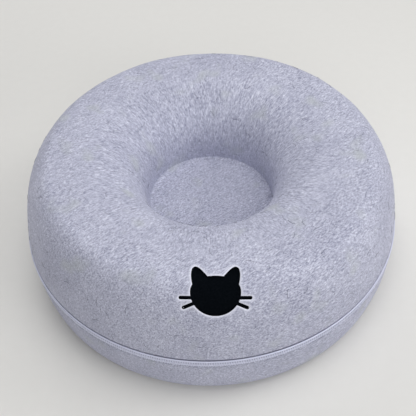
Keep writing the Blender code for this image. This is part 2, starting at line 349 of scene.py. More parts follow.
    def _nest_share(self, tree: Tree, reach: Socket) -> Node:
        """Give how far the fibres were drawn down the nest's wall.

        Args:
            tree: The material's node tree.
            reach: Distances from the axis.

        Returns:
            The node that gives the share.
        """
        top, foot = (add_node(tree, MAP_RANGE, {"Value": reach, 1: limits[0], 2: limits[1], 4: most},
                              interpolation_type="SMOOTHSTEP")
                     for limits, most in ((self.wall_top, self.most_drawn), (self.wall_foot, 1.0)))
        return add_node(tree, MATH, {0: top, 1: foot}, operation="MULTIPLY")


@dataclass(frozen=True)
class SpeckledFinish(Finish):
    """A plain matt finish of two close colours, which a soft speckle mixes."""

    body: str
    speckle: str
    speckle_mm: float
    spread: tuple[float, float] = (0.35, 0.75)
    relief: Optional[tuple[float, float]] = None
    roughness: float = 1.0
    specular: float = 0.0

    def surface(self, tree: Tree) -> dict:
        """Mix the two colours.

        Args:
            tree: The material's node tree.

        Returns:
            The shader's inputs.
        """
        place = add_node(tree, "ShaderNodeTexCoord").outputs["Object"]
        speckle = add_node(tree, NOISE, {"Vector": place, "Scale": 1000.0 / self.speckle_mm, "Detail": 2.0})
        share = add_node(tree, MAP_RANGE, {"Value": speckle, 1: self.spread[0], 2: self.spread[1]})
        inputs = {"Roughness": self.roughness, "Specular IOR Level": self.specular,
                  "Base Color": add_node(tree, MIX, {0: share, 6: linear(self.body), 7: linear(self.speckle)},
                                         data_type="RGBA")}
        if self.relief:
            strength, depth = self.relief
            inputs["Normal"] = add_node(tree, BUMP, {"Strength": strength, "Distance": depth,
                                                     "Height": speckle})
        return inputs


@dataclass(frozen=True)
class PaintedShadeFelt(SpeckledFinish):
    """Thin needle felt, near black, behind the cat's head: painted shade for the dark inside of the tunnel
    seen through the cut.  It swallows light, with only a trace of fuzz.
    """

    name: str = "thin black felt"
    body: str = "04070B"
    speckle: str = "0A0D12"
    speckle_mm: float = 2.2
    relief: Optional[tuple[float, float]] = (0.6, 0.0004)
    specular: float = 0.03


@dataclass(frozen=True)
class ShadedCutWall(PaintedShadeFelt):
    """The cut felt's edge inside the cat's outline, made nearly black: painted shade inside the cut."""

    name: str = "singed felt edge"
    body: str = "06090E"
    speckle: str = "10131A"
    speckle_mm: float = 1.4


@dataclass(frozen=True)
class NylonCoil(SpeckledFinish):
    """Nylon monofilament dyed with the felt: smooth, a little glossy, with faint uneven dye."""

    name: str = "dyed nylon coil"
    body: str = "CFD2E6"
    speckle: str = "D9DCF0"
    speckle_mm: float = 9.0
    spread: tuple[float, float] = (0.35, 0.65)
    roughness: float = 0.42
    specular: float = 0.4
    ior: float = 1.53

    def surface(self, tree: Tree) -> dict:
        """Add nylon's index of refraction to the speckle."""
        return super().surface(tree) | {"IOR": self.ior}


@dataclass(frozen=True)
class StudioPaper(SpeckledFinish):
    """Seamless background paper: matt, warm and pale, with the faintest tooth."""

    name: str = "seamless pale paper"
    body: str = "E0DFDC"
    speckle: str = "DDDCD9"
    speckle_mm: float = 16.667
    spread: tuple[float, float] = (0.0, 1.0)


@dataclass(frozen=True)
class LooseFibre(Finish):
    """A coarse polyester fibre that the needles left on the face: plain dyed, barely glossy."""

    colour: str

    def surface(self, tree: Tree) -> dict:
        """Give one plain colour."""
        return {"Base Color": linear(self.colour), "Roughness": 0.8, "Specular IOR Level": 0.2}


@dataclass(frozen=True)
class WovenTape(Finish):
    """Polyester zip tape, woven in a fine herringbone: close slanted ribs, slightly silky.

    Its cloth map's U runs along the tape and V across it, in metres.  Its colours are darkened as painted
    shade for the gaps between the teeth, with a pale painted highlight along the fold under the cover's edge.
    """

    name: str = "woven polyester tape"
    # The thread and shadow colours are darkened as painted shade for the gaps between the teeth; the pale
    # colour below them is the fold's painted highlight.
    thread: str = "ACADC4"
    shadow: str = "A2A3BB"
    wear_and_highlight: str = "D7DAEE"
    rib_mm: float = 0.6
    twill_rows_mm: float = 2.4

    def surface(self, tree: Tree) -> dict:
        """Weave the ribs and paint a pale highlight along the fold.

        Args:
            tree: The material's node tree.

        Returns:
            The shader's inputs.
        """
        chart = add_node(tree, "ShaderNodeUVMap", uv_map="cloth")
        along, across, _ = add_node(tree, "ShaderNodeSeparateXYZ", {0: chart}).outputs
        row = add_node(tree, MATH, {0: across, 1: self.twill_rows_mm / 1000.0}, operation="PINGPONG")
        slant = add_node(tree, MATH, {0: along, 1: row}, operation="ADD")
        turns = add_node(tree, MATH, {0: slant, 1: 1000.0 * FULL_TURN / self.rib_mm}, operation="MULTIPLY")
        rib = add_node(tree, MATH, {0: turns}, operation="SINE")
        share = add_node(tree, MAP_RANGE, {"Value": rib, 1: -1.0, 2: 0.6})
        fold = add_node(tree, ATTRIBUTE, attribute_name="fold").outputs["Fac"]
        colour = linear(self.shadow)
        for share_there, thread in ((share, self.thread), (fold, self.wear_and_highlight)):
            colour = add_node(tree, MIX, {0: share_there, 6: colour, 7: linear(thread)}, data_type="RGBA")
        return {"Base Color": colour,
                "Normal": add_node(tree, BUMP, {"Strength": 0.5, "Distance": 0.0001, "Height": share}),
                "Roughness": 0.75, "Specular IOR Level": 0.25, "Sheen Weight": 0.15}


@dataclass(frozen=True)
class PaintedZinc(Finish):
    """Die-cast zinc under satin grey paint, rubbed brighter where edges meet the hand."""

    name: str = "satin painted zinc"
    paint: str = "9A9BA8"
    wear_and_highlight: str = "B8B8C0"
    grain_mm: float = 0.6

    def surface(self, tree: Tree) -> dict:
        """Rub the paint's edges and grain its face.

        Args:
            tree: The material's node tree.

        Returns:
            The shader's inputs.
        """
        place = add_node(tree, "ShaderNodeTexCoord").outputs["Object"]
        grain = add_node(tree, NOISE, {"Vector": place, "Scale": 1000.0 / self.grain_mm, "Detail": 3.0})
        edge = add_node(tree, "ShaderNodeNewGeometry").outputs["Pointiness"]
        rub = add_node(tree, MAP_RANGE, {"Value": edge, 1: 0.52, 2: 0.62})
        return {"Base Color": add_node(tree, MIX, {0: rub, 6: linear(self.paint), 7: linear(self.wear_and_highlight)},
                                       data_type="RGBA"),
                "Roughness": add_node(tree, MAP_RANGE, {"Value": grain, 3: 0.32, 4: 0.46}),
                "Normal": add_node(tree, BUMP, {"Strength": 0.4, "Distance": 0.00005, "Height": grain}),
                "Metallic": 0.55}


# ---------------------------------------------------------------- meshes
def link_piece(name: str, mesh: bpy.types.Mesh, material: Optional[bpy.types.Material] = None) -> Piece:
    """Put a mesh in the scene, shaded smooth.

    Args:
        name: The object's name.
        mesh: Its mesh.
        material: Its material, if it has one yet.

    Returns:
        The new object.
    """
    piece = bpy.data.objects.new(name, mesh)
    bpy.context.scene.collection.objects.link(piece)
    if material is not None:
        mesh.materials.append(material)
    mesh.shade_smooth()
    return piece


def fitted(piece: Piece, slot: Slot, node: str) -> Piece:
    """Give a piece its body and hide the node's part that it stands for.

    Args:
        piece: The finished piece.
        slot: Its material slot; not used.
        node: The node's name.

    Returns:
        The same piece.
    """
    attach(piece, BODY)
    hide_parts(node)
    return piece


def line_sides(line: Line) -> np.ndarray:
    """Unit vectors to the right of the way a line runs, one for each point."""
    ways = np.gradient(np.array(line), axis=0)
    ways /= np.linalg.norm(ways, axis=1)[:, None]
    return np.stack([ways[:, 1], -ways[:, 0]], axis=1)


def offset_line(line: Line, distance: float) -> Line:
    """Move a line sideways: to the right of the way it runs, or to the left where the distance is below 0."""
    return [tuple(point) for point in np.array(line) + line_sides(line) * distance]


def respaced(line: Line, spacing: Callable[[float, float], float]) -> Line:
    """Take points along a fine line at a spacing that depends on the place.

    Args:
        line: The fine line.
        spacing: Gives the wanted spacing at a radius and a height.

    Returns:
        The new line, with the old one's two ends.
    """
    points = np.array(line)
    lengths = np.linalg.norm(np.diff(points, axis=0), axis=1)
    middles = (points[1:] + points[:-1]) / 2.0
    counts = np.concatenate([[0.0], np.cumsum(lengths / np.array([spacing(*m) for m in middles]))])
    wanted = np.linspace(0.0, counts[-1], int(math.ceil(counts[-1])) + 1)
    columns = [np.interp(wanted, counts, column) for column in points.T]
    return [(float(radius), float(height)) for radius, height in zip(*columns)]


def arc(middle: Point, radius: float, start: float, end: float, steps: int) -> Line:
    """Points along an arc, between two angles in degrees."""
    angles = [math.radians(start + (end - start) * step / steps) for step in range(steps + 1)]
    return [(middle[0] + radius * math.cos(a), middle[1] + radius * math.sin(a)) for a in angles]


def bowed(start: Point, pull: Point, end: Point, steps: int = 8) -> Line:
    """Points along a line between two points, bowed towards a third."""
    shares = [step / steps for step in range(steps + 1)]
    return [tuple(Vector(start) * (1.0 - t) ** 2 + Vector(pull) * 2.0 * t * (1.0 - t) + Vector(end) * t * t)
            for t in shares]


def placed(anchor: Point, steps_mm: Sequence[Point]) -> Line:
    """Points at these distances from an anchor, in millimetres."""
    return [(anchor[0] + x / 1000.0, anchor[1] + y / 1000.0) for x, y in steps_mm]


def mirrored(line: Line) -> Line:
    """A line and then its mirror image, back to where it began."""
    return line + [(-x, y) for x, y in line[::-1]]


def rounded_edge(first: Point, last: Point, way: Point, rounding: float, steps: int = 4) -> Line:
    """Close a sheet's cut edge with two rounded corners.

    Args:
        first: Where the edge's first corner would be, were it sharp.
        last: Where its last corner would be.
        way: The unit direction in which the edge faces.
        rounding: Radius of each corner.
        steps: Straight steps round each corner.

    Returns:
        Points from the first face round both corners to the last face.
    """
    across = (Vector(last) - Vector(first)).normalized()
    outward = Vector(way)
    points = []
    for corner, side in ((Vector(first), 1.0), (Vector(last), -1.0)):
        middle = corner + across * rounding * side - outward * rounding
        turns = [math.pi / 2.0 * step / steps for step in range(steps + 1)]
        bend = [middle + (outward * math.sin(t) - across * side * math.cos(t)) * rounding for t in turns]
        points += bend if side > 0.0 else bend[::-1]
    return [(point.x, point.y) for point in points]


def closed_mesh(name: str, points: Sequence, faces: Sequence) -> bpy.types.Mesh:
    """Make a closed mesh, its doubles merged and its faces turned outwards.

    Args:
        name: The mesh's name.
        points: Its points.
        faces: The points of each face.

    Returns:
        The mesh.
    """
    mesh = bpy.data.meshes.new(name)
    mesh.from_pydata([tuple(point) for point in points], [], faces)
    shape = bmesh.new()
    shape.from_mesh(mesh)
    bmesh.ops.remove_doubles(shape, verts=shape.verts, dist=1e-7)
    bmesh.ops.recalc_face_normals(shape, faces=shape.faces)
    shape.to_mesh(mesh)
    shape.free()
    return mesh


def turned_mesh(name: str, outline: Line, angles: Sequence[float],
                settle: Callable[[Vector], Vector]) -> bpy.types.Mesh:
    """Turn an outline that starts and ends on the axis into a closed mesh.

    Args:
        name: The mesh's name.
        outline: (radius, height) points; the first and last have no radius.
        angles: The turn's angles, in radians, once round.
        settle: Gives each point its settled place.

    Returns:
        The closed mesh.
    """
    columns = len(angles)
    rows = outline[1:-1]
    points = [(0.0, 0.0, outline[0][1])]
    for radius, height in rows:
        points += [(radius * math.cos(a), radius * math.sin(a), height) for a in angles]
    points.append((0.0, 0.0, outline[-1][1]))
    top = 1 + (len(rows) - 1) * columns
    faces = []
    for column in range(columns):
        after = (column + 1) % columns
        faces.append((0, 1 + column, 1 + after))
        for low in range(1, top, columns):
            faces.append((low + column, low + columns + column, low + columns + after, low + after))
        faces.append((top + column, len(points) - 1, top + after))
    return closed_mesh(name, [settle(Vector(point)) for point in points], faces)


def ring_mesh(name: str, outline: Line, columns: int) -> bpy.types.Mesh:
    """Turn a closed outline about Z, with a cloth map in metres along and across it.

    Args:
        name: The mesh's name.
        outline: (radius, height) points round the section, once.
        columns: Straight steps in the full turn.

    Returns:
        The closed ring.
    """
    mesh = bpy.data.meshes.new(name)
    shape = bmesh.new()
    chart = shape.loops.layers.uv.new("cloth")
    rows = len(outline)
    turns = [FULL_TURN * column / columns for column in range(columns)]
    loops = [[shape.verts.new((r * math.cos(t), r * math.sin(t), z)) for r, z in outline] for t in turns]
    across = [0.0]
    for index, point in enumerate(outline):
        across.append(across[-1] + (Vector(outline[(index + 1) % rows]) - Vector(point)).length)
    step = FULL_TURN * sum(radius for radius, _ in outline) / rows / columns
    for column in range(columns):
        here, after = loops[column], loops[(column + 1) % columns]
        for row in range(rows):
            up = (row + 1) % rows
            face = shape.faces.new((here[row], after[row], after[up], here[up]))
            places = ((column, row), (column + 1, row), (column + 1, row + 1), (column, row + 1))
            for loop, (turn, side) in zip(face.loops, places):
                loop[chart].uv = (turn * step, across[side])
    bmesh.ops.recalc_face_normals(shape, faces=shape.faces)
    shape.to_mesh(mesh)
    shape.free()
    return mesh


def prism(name: str, outline: Line, low: float, high: float, place: Matrix,
          material: Optional[bpy.types.Material] = None) -> Piece:
    """Draw out an outline and put it in its place.

    Args:
        name: The piece's name.
        outline: Points in the outline's own X-Y plane.
        low: Where the prism starts along its own Z.
        high: Where it ends.
        place: The plane's place.
        material: The piece's material.

    Returns:
        The new piece.
    """
    mesh = bpy.data.meshes.new(name)
    shape = bmesh.new()
    base = shape.faces.new([shape.verts.new((x, y, low)) for x, y in outline])
    drawn = bmesh.ops.extrude_face_region(shape, geom=[base])
    moved = [item for item in drawn["geom"] if isinstance(item, bmesh.types.BMVert)]
    bmesh.ops.translate(shape, verts=moved, vec=(0.0, 0.0, high - low))
    bmesh.ops.recalc_face_normals(shape, faces=shape.faces)
    shape.to_mesh(mesh)
    shape.free()
    mesh.transform(place)
    return link_piece(name, mesh, material)


def bake_modifiers(piece: Piece) -> None:
    """Make a piece's evaluated shape its own plain mesh.

    Args:
        piece: The piece.
    """
    bpy.context.view_layer.update()
    graph = bpy.context.evaluated_depsgraph_get()
    mesh = bpy.data.meshes.new_from_object(piece.evaluated_get(graph), depsgraph=graph)
    piece.modifiers.clear()
    old, piece.data = piece.data, mesh
    bpy.data.meshes.remove(old)


def combine(piece: Piece, tools: Sequence[Piece], operation: str) -> Piece:
    """Join other shapes to a piece or cut them out of it, and remove them.

    Args:
        piece: The piece that stays.
        tools: The other shapes.
        operation: UNION or DIFFERENCE.

    Returns:
        The piece.
    """
    for tool in tools:
        modifier = piece.modifiers.new("combine", "BOOLEAN")
        modifier.operation, modifier.solver, modifier.object = operation, "MANIFOLD", tool
    bake_modifiers(piece)
    for tool in tools:
        bpy.data.objects.remove(tool, do_unlink=True)
    return piece


def grown_piece(name: str, tree: Tree, sizes: dict) -> Piece:
    """Run a geometry tree with its sizes and keep the plain mesh it makes.

    Args:
        name: The new piece's name.
        tree: The geometry node tree.
        sizes: Its named inputs and their values.

    Returns:
        A plain mesh object.
    """
    piece = link_piece(name, bpy.data.meshes.new(name))
    modifier = piece.modifiers.new(name, "NODES")
    modifier.node_group = tree
    sockets = {item.name: item.identifier for item in tree.interface.items_tree if item.in_out == "INPUT"}
    for label, value in sizes.items():
        modifier[sockets[label]] = value
    bake_modifiers(piece)
    piece.data.shade_smooth()
    return piece


# ---------------------------------------------------------------- the felt's section and its settling
@dataclass(frozen=True)
class FeltSection:
    """Sizes of the moulded section that both shells share."""

    outer_radius: float = 0.300
    height: float = 0.205
    widest_z: float = 0.063
    crest_radius: float = 0.243
    thickness: float = 0.004
    base_radius: float = 0.287
    tray_rim_z: float = 0.0745
    cover_rim_z: float = 0.0900
    nest_radius: float = 0.1025
    nest_z: float = 0.0900
    nest_power: float = 2.67
    nest_fillet: float = 0.0030

    def side_radius(self, height: float) -> float:
        """Radius of the outer side at a height at or above the widest one."""
        share = (height - self.widest_z) / (self.height - self.widest_z)
        return self.crest_radius + (self.outer_radius - self.crest_radius) * math.sqrt(1.0 - share * share)

    def cover_face(self) -> Line:
        """Fine line of the cover's top face.

        Returns:
            Points from its lower edge over the crest to the axis.
        """
        rise, reach = self.height - self.widest_z, self.outer_radius - self.crest_radius
        start = math.asin((self.cover_rim_z - self.widest_z) / rise)
        line = [(self.crest_radius + reach * math.cos(angle), self.widest_z + rise * math.sin(angle))
                for angle in np.linspace(start, math.pi / 2.0, 500, endpoint=False)]
        depth, wall = self.height - self.nest_z, self.crest_radius - self.nest_radius
        for angle in np.linspace(0.0, math.pi / 2.0, 900):
            inward, upward = (max(share, 0.0) ** (2.0 / self.nest_power)
                              for share in (math.sin(angle), math.cos(angle)))
            if depth * upward > self.nest_fillet:
                line.append((self.crest_radius - wall * inward, self.nest_z + depth * upward))
        corner = line[-1][0] - self.nest_fillet
        line += arc((corner, self.nest_z + self.nest_fillet), self.nest_fillet, 0.0, -90.0, 8)
        return line + [(float(r), self.nest_z) for r in np.linspace(corner - 0.002, 0.0, 60)]

    def tray_face(self) -> Line:
        """Fine line of the tray's outer face.

        Returns:
            Points from the axis up to its top edge.
        """
        line = [(float(r), 0.0) for r in np.linspace(0.0, self.base_radius, 80, endpoint=False)]
        for angle in np.linspace(math.pi / 2.0, 0.0, 200):
            radius = self.base_radius + (self.outer_radius - self.base_radius) * math.cos(angle)
            line.append((radius, self.widest_z * (1.0 - math.sin(angle))))
        for height in np.linspace(self.widest_z, self.tray_rim_z, 20)[1:]:
            line.append((self.side_radius(float(height)), float(height)))
        return line


@dataclass(frozen=True)
class Crease:
    """A soft trough, or a ridge below 0, between two places, each a turn in degrees and a radius."""

    start: Point
    end: Point
    width: float
    depth: float
    soft_end: float = 0.3
    end_share: float = 0.35

    def lift(self, place: Vector) -> float:
        """Work out how far the crease moves the felt outwards.

        Args:
            place: A place on the felt.

        Returns:
            The distance.
        """
        first, last = (Vector((r * math.cos(math.radians(a)), r * math.sin(math.radians(a))))
                       for a, r in (self.start, self.end))
        run = last - first
        here = Vector((place.x, place.y)) - first
        share = min(max(here.dot(run) / run.length_squared, 0.0), 1.0)
        away = (here - run * share).length / self.width
        middle = smooth_step(share, 0.0, self.soft_end) * smooth_step(1.0 - share, 0.0, self.soft_end)
        return -self.depth * math.exp(-away * away) * (self.end_share + (1.0 - self.end_share) * middle)


@dataclass(frozen=True)
class Settling:
    """How the moulded felt has relaxed from its mould: broad unevenness and soft creases."""

    section: FeltSection
    waves: tuple[Point, ...] = ((0.0016, 0.150), (0.0005, 0.045))
    wave_place: tuple[float, float, float] = (3.1, 7.4, 1.9)
    corner_lift: float = 0.0045
    corner_reach: float = 0.010
    corner_turns: tuple[float, float, float, float] = (140.0, 195.0, 225.0, 262.0)
    still_radius: float = 0.03
    floor_share: float = 0.35
    rim_band: tuple[float, float] = (0.002, 0.030)
    floor_band: tuple[float, float] = (-0.004, 0.020)
    creases: tuple[Crease, ...] = (
        Crease((38.0, 0.118), (33.0, 0.205), 0.010, 0.0022),
        Crease((24.0, 0.112), (20.0, 0.190), 0.008, 0.0018),
        Crease((62.0, 0.115), (55.0, 0.185), 0.010, 0.0016),
        Crease((12.0, 0.125), (9.0, 0.215), 0.012, -0.0014),
        Crease((150.0, 0.120), (158.0, 0.200), 0.016, 0.0020),
        Crease((196.0, 0.118), (205.0, 0.180), 0.014, 0.0016),
        Crease((98.0, 0.112), (101.0, 0.180), 0.012, 0.0014),
        Crease((-40.0, 0.160), (-52.0, 0.235), 0.018, 0.0014),
        Crease((-118.0, 0.240), (-134.0, 0.275), 0.020, 0.0012),
        Crease((-20.0, 0.050), (20.0, 0.070), 0.014, 0.0008),
    )

    def lift(self, place: Vector) -> float:
        """Work out how far the felt stands out from its mould, along its normal.

        Args:
            place: A place on the mould.

        Returns:
            The distance.
        """
        radius = math.hypot(place.x, place.y)
        total = sum(size * noise.noise(place / reach + Vector(self.wave_place)) for size, reach in self.waves)
        if radius > self.still_radius:
            total += sum(crease.lift(place) for crease in self.creases)
        if radius > self.section.crest_radius:
            total *= smooth_step(place.z - self.section.cover_rim_z, *self.rim_band)
        off_floor = smooth_step(radius - self.section.nest_radius, *self.floor_band)
        loose = self.floor_share + (1.0 - self.floor_share) * off_floor
        return total * loose + self._filled_corner(place, radius)

    def _filled_corner(self, place: Vector, radius: float) -> float:
        """Work out how far the nest's lower corner was left round, at the front left.

        Args:
            place: A place on the mould.
            radius: Its distance from the axis.

        Returns:
            The distance.
        """
        section = self.section
        away = math.hypot(radius - section.nest_radius, place.z - section.nest_z) / self.corner_reach
        if away > 3.0:
            return 0.0
        turn = math.degrees(math.atan2(place.y, place.x)) % 360.0
        start, full, fall, end = self.corner_turns
        share = smooth_step(turn, start, full) * (1.0 - smooth_step(turn, fall, end))
        return self.corner_lift * share * math.exp(-away * away)


# ---------------------------------------------------------------- what is cut out of the cover
@dataclass(frozen=True)
class CatMotif:
    """A cat's head with two ears and four whiskers, cut through the front of the cover.

    Its plane faces forwards and up: X to its right, Y up it, Z outwards, from its middle.
    """

    tilt_degrees: float = 52.0
    turn_degrees: float = -2.8
    middle: tuple[float, float, float] = (0.0009, -0.2652, 0.1948)
    half_width: float = 0.0332
    widest: float = 0.0051
    rise: float = 0.0214
    drop: float = 0.0319
    powers: tuple[float, float] = (2.2, 2.0)
    head_steps: int = 96
    ear_middle: Point = (0.0262, 0.0329)
    ear_round: float = 0.0052
    ear_outer_bow: Point = (0.0338, 0.0262)
    ear_outer_foot: Point = (0.0290, 0.0100)
    ear_inner_bow: Point = (0.0186, 0.0352)
    ear_inner_foot: Point = (0.0090, 0.0239)
    ear_root: Point = (0.012, 0.0)
    whisker_width: float = 0.0048
    whiskers: tuple[tuple[Point, Point], ...] = (
        ((0.0250, -0.0024), (0.0456, -0.0024)),
        ((0.0225, -0.0074), (0.0416, -0.0155)),
    )
    reach_out: float = 0.040
    reach_in: float = 0.035
    span: float = 0.075
    pressed_width: float = 0.0018
    pressed_depth: float = 0.0007
    # Width of the pale halo painted along the outline as a highlight.
    halo_width: float = 0.0022

    def place(self) -> Matrix:
        """The plane's place."""
        tilt = Matrix.Rotation(math.radians(90.0 - self.tilt_degrees), 4, "X")
        turn = Matrix.Rotation(math.radians(self.turn_degrees), 4, "Z")
        return Matrix.Translation(self.middle) @ tilt @ turn

    def outlines(self) -> list[Line]:
        """Draw the head, the two ears and the four whiskers.

        Returns:
            Closed outlines that run anticlockwise.
        """
        head = []
        for step in range(self.head_steps):
            angle = FULL_TURN * step / self.head_steps
            above = math.sin(angle) >= 0.0
            power, height = (self.powers[0], self.rise) if above else (self.powers[1], self.drop)
            across, upward = (math.copysign(abs(share) ** (2.0 / power), share)
                              for share in (math.cos(angle), math.sin(angle)))
            head.append((self.half_width * across, self.widest + height * upward))
        shapes = [head]
        for side in (1, -1):
            for shape in [self._ear()] + [self._whisker(start, end) for start, end in self.whiskers]:
                shapes.append([(side * x, y) for x, y in shape][::side])
        return shapes

    def _ear(self) -> Line:
        """The right ear: a blunt round tip between two bowed sides."""
        tip = arc(self.ear_middle, self.ear_round, 5.0, 120.0, 12)
        outer = bowed(self.ear_outer_foot, self.ear_outer_bow, tip[0])
        inner = bowed(tip[-1], self.ear_inner_bow, self.ear_inner_foot)
        return outer[:-1] + tip + inner[1:] + [self.ear_root]

    def _whisker(self, start: Point, end: Point) -> Line:
        """Draw a straight whisker with a round free end.

        Args:
            start: Where it starts, inside the head.
            end: The middle of its round end.

        Returns:
            Its outline.
        """
        way = (Vector(end) - Vector(start)).normalized()
        heading, half = math.degrees(math.atan2(way.y, way.x)), self.whisker_width / 2.0
        across = Vector((-way.y, way.x)) * half
        tip = arc(end, half, heading - 90.0, heading + 90.0, 10)
        return [tuple(Vector(start) - across)] + tip + [tuple(Vector(start) + across)]

    def cutter(self) -> Piece:
        """One solid that cuts the whole motif."""
        tools = [prism(f"motif_cutter_{index}", outline, -self.reach_in, self.reach_out, self.place())
                 for index, outline in enumerate(self.outlines())]
        return combine(tools[0], tools[1:], "UNION")

    def distances(self, places: np.ndarray) -> np.ndarray:
        """Measure how far places lie outside the motif's outline, in its own plane.

        Args:
            places: One row of X, Y and Z for each place.

        Returns:
            The distances in metres, below 0 inside, and a large one far away.
        """
        turned = np.array(self.place().inverted())
        nearest = np.full(len(places), 9.0)
        near = np.linalg.norm(places - np.array(self.middle), axis=1) < self.span
        flat = (places[near] @ turned[:3, :3].T + turned[:3, 3])[:, :2]
        for outline in self.outlines():
            first = np.array(outline)
            run = np.roll(first, -1, axis=0) - first
            to_point = flat[:, None, :] - first[None, :, :]
            share = np.clip((to_point * run).sum(2) / (run * run).sum(1), 0.0, 1.0)
            away = np.linalg.norm(to_point - share[..., None] * run, axis=2).min(1)
            turn = run[None, :, 0] * to_point[..., 1] - run[None, :, 1] * to_point[..., 0]
            low = first[None, :, 1] <= flat[:, None, 1]
            high = (first + run)[None, :, 1] <= flat[:, None, 1]
            winding = (low & ~high & (turn > 0)).sum(1) - (~low & high & (turn < 0)).sum(1)
            nearest[near] = np.minimum(nearest[near], np.where(winding != 0, -away, away))
        return nearest


@dataclass(frozen=True)
class Doorway:
    """A half-round doorway with rounded lower corners, cut through the back of the cover."""

    sill_z: float = 0.106
    radius: float = 0.085
    corner: float = 0.012
    reach: tuple[float, float] = (0.190, 0.330)

    def cutter(self) -> Piece:
        """Build the solid that cuts the doorway.

        Returns:
            The solid.
        """
        outline = arc((0.0, 0.0), self.radius, 8.0, 172.0, 72)
        inside = self.radius - self.corner
        for middle, start in ((-inside, 180.0), (inside, 270.0)):
            outline += arc((middle, self.corner), self.corner, start, start + 90.0, 10)
        near, far = self.reach
        place = Matrix.Translation((0.0, far, self.sill_z)) @ Matrix.Rotation(math.pi / 2.0, 4, "X")
        return prism("doorway_cutter", outline, 0.0, far - near, place)


# ---------------------------------------------------------------- the two felt shells and the black felt
@dataclass
class FeltShells:
    """The cover with its cut-outs, the black felt of painted shade behind the cat's head, and the tray."""

    section: FeltSection
    settling: Settling
    motif: CatMotif
    doorway: Doorway
    felt: bpy.types.Material
    black_felt: bpy.types.Material
    shaded_cut_wall: bpy.types.Material
    columns: int = 240
    fine_columns: int = 84
    fine_half_degrees: float = 12.5
    motif_rows_from: Point = (0.222, 0.150)
    motif_spacing: float = 0.0013
    side_spacing: float = 0.0028
    nest_spacing: float = 0.0034
    floor_spacing: float = 0.0080
    under_spacing: float = 0.0050
    sharp_degrees: float = 55.0
    most_tilt: float = 0.2
    rim_round: float = 0.0013
    tray_round: float = 0.0018
    tray_corner: float = 0.26
    backing_thickness: float = 0.0015
    backing_gap: float = 0.0003
    backing_half_degrees: float = 11.8
    backing_columns: int = 60
    backing_from: Point = (0.186, 0.136)
    backing_spacing: float = 0.0022
    backing_spare: float = 0.002
    wall_waves: tuple[Point, ...] = ((0.0011, 0.11), (0.0004, 0.04))
    wall_foot: tuple[float, float] = (0.006, 0.025)
    wall_top: tuple[float, float] = (0.022, 0.002)
    wall_radius: float = 0.27
    cut_reach: tuple[float, float] = (-0.0004, 0.012)
    cover_blank: float = 0.770
    tray_blank: float = 0.720
    backing_blank: tuple[float, float] = (0.103, 0.141)
    face: Line = field(init=False)
    face_points: np.ndarray = field(init=False)
    face_sides: np.ndarray = field(init=False)

    def __post_init__(self) -> None:
        """Lay out the cover's face."""
        self.face = self.section.cover_face()
        self.face_points, self.face_sides = np.array(self.face), line_sides(self.face)

    def settle(self, place: Vector) -> Vector:
        """Move a place to where the felt has settled.

        Args:
            place: A place on or under the cover's face.

        Returns:
            The settled place.
        """
        radius = math.hypot(place.x, place.y)
        if radius < 1e-6:
            return place + Vector((0.0, 0.0, self.settling.lift(place)))
        index = int(np.argmin(((self.face_points - (radius, place.z)) ** 2).sum(axis=1)))
        face_radius, face_z = (float(size) for size in self.face[index])
        side, up = (float(share) for share in self.face_sides[index])
        across = Vector((place.x / radius, place.y / radius, 0.0))
        lift = self.settling.lift(across * face_radius + Vector((0.0, 0.0, face_z)))
        return place + (across * side + Vector((0.0, 0.0, up))) * lift

    def build_cover(self) -> Piece:
        """Build the ring-shaped cover.

        Returns:
            The cover.
        """
        section = self.section
        rim_z, thickness = section.cover_rim_z, section.thickness
        walls = []
        for line, spacing in ((self.face, self._face_spacing),
                              (offset_line(self.face, -thickness), lambda r, z: self.under_spacing)):
            kept = [p for p in line if p[1] > rim_z + self.rim_round or p[0] < section.crest_radius]
            walls.append(respaced(kept, spacing))
        top, under = walls
        top[-1], under[-1] = (0.0, section.nest_z), (0.0, section.nest_z - thickness)
        edge = section.side_radius(rim_z)
        rim = rounded_edge((edge, rim_z), (edge - thickness, rim_z), (0.0, -1.0), self.rim_round)
        mesh = turned_mesh("felt_cover", top[::-1] + rim + under, self._angles(), self.settle)
        uncut = BVHTree.FromPolygons([vertex.co.copy() for vertex in mesh.vertices],
                                     [tuple(polygon.vertices) for polygon in mesh.polygons])
        cover = link_piece("felt_cover", mesh, self.felt)
        combine(cover, [self.motif.cutter(), self.doorway.cutter()], "DIFFERENCE")
        self._darken_walls(cover.data)
        self._soften_cuts(cover.data, uncut)
        cover.data.set_sharp_from_angle(angle=math.radians(self.sharp_degrees))
        return fitted(cover, Slot.FELT, "cover")

    def _angles(self) -> list[float]:
        """Set out the cover's columns, close together behind the cat's head.

        Returns:
            Their angles, in radians.
        """
        half = math.radians(self.fine_half_degrees)
        fine = np.linspace(FRONT - half, FRONT + half, self.fine_columns)
        rest = np.linspace(FRONT + half, FRONT + FULL_TURN - half, self.columns)[1:-1]
        return [float(angle) for angle in np.concatenate([fine, rest])]

    def _face_spacing(self, radius: float, height: float) -> float:
        """Space the cover's rows: close where the cat's head is cut.

        Args:
            radius: Distance from the axis.
            height: Height above the floor.

        Returns:
            The spacing.
        """
        if radius > self.motif_rows_from[0] and height > self.motif_rows_from[1]:
            return self.motif_spacing
        if radius > self.section.crest_radius:
            return self.side_spacing
        return self.nest_spacing if radius > self.section.nest_radius else self.floor_spacing

    def _darken_walls(self, mesh: bpy.types.Mesh) -> None:
        """Give the walls of the cat's outline a nearly black finish, as painted shade inside the cut.

        Args:
            mesh: The cover's mesh.
        """
        # Painted shade: the walls of the cut get a nearly black material.
        mesh.materials.append(self.shaded_cut_wall)
        facing = self.motif.place().to_3x3() @ Vector((0.0, 0.0, 1.0))
        away = self.motif.distances(np.array([face.center for face in mesh.polygons]))
        for index in np.nonzero(np.abs(away) < SAME_PLACE)[0]:
            face = mesh.polygons[int(index)]
            if abs(face.normal.dot(facing)) < self.most_tilt:
                face.material_index = 1

